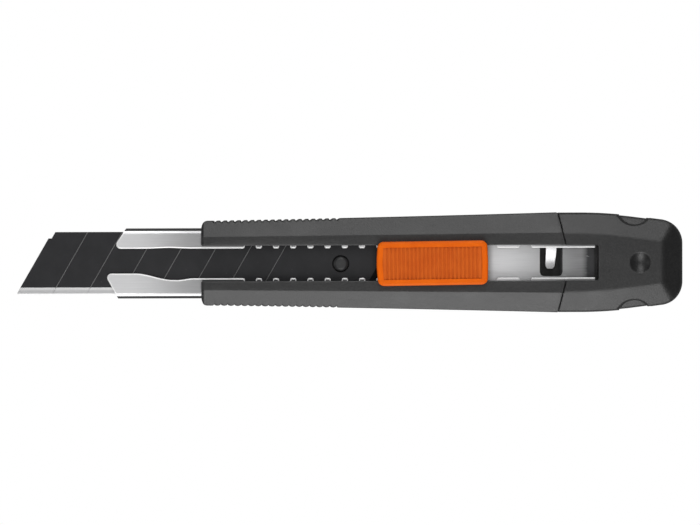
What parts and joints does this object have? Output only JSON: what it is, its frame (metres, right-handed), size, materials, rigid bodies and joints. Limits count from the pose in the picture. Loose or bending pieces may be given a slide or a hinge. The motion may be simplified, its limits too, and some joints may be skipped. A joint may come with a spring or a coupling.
{
  "type": "snap off knife",
  "caption": "Wide snap-off utility knife with a steel blade channel, a ribbed auto-lock slider and a pull-off end cap.",
  "frame": {"origin": "centre of the flat back of the handle, midway along the handle with its end cap", "axes": "+X along the handle to the end cap, -X to the blade tip, +Y to the blade's blunt back, +Z out of the face that carries the slider"},
  "size_m": [0.1938, 0.029, 0.017],
  "materials": {
    "handle_plastic": "matt dark grey, fine moulded grain",
    "cap_plastic": "matt dark grey, fine moulded grain",
    "channel_steel": "brushed stainless sheet",
    "blade_coating": "black coating with a bright ground edge",
    "carrier_plastic": "black moulded plastic",
    "stud_steel": "dark steel",
    "spring_steel": "plain spring steel",
    "slider_plastic": "orange, satin to glossy",
    "pad_rubber": "orange soft-touch, fine grooves"
  },
  "bodies": {
    "handle": {"handle_body": "handle_plastic", "blade_channel": "channel_steel"},
    "carriage": {"blade_segment_1": "blade_coating", "blade_segment_2": "blade_coating", "blade_segment_3": "blade_coating", "blade_segment_4": "blade_coating", "blade_segment_5": "blade_coating", "blade_segment_6": "blade_coating", "blade_segment_7": "blade_coating", "blade_tang": "blade_coating", "blade_carrier": "carrier_plastic", "blade_stud": "stud_steel", "lock_spring": "spring_steel"},
    "slider": {"slide_button": "slider_plastic", "thumb_pad": "pad_rubber"},
    "cap": {"end_cap": "cap_plastic"}
  },
  "joints": [
    {"name": "blade_slide", "type": "slide", "parent": "handle", "child": "carriage", "axis": [-1, 0, 0], "range_m": [-0.03, 0.05], "deforming": ["lock_spring"]},
    {"name": "button_play", "type": "slide", "parent": "carriage", "child": "slider", "axis": [-1, 0, 0], "range_m": [-0.0012, 0.0012], "stiffness_N_per_m": 1500, "deforming": ["lock_spring"]},
    {"name": "cap_pull", "type": "slide", "parent": "handle", "child": "cap", "axis": [1, 0, 0], "range_m": [0, 0.035]}
  ]
}
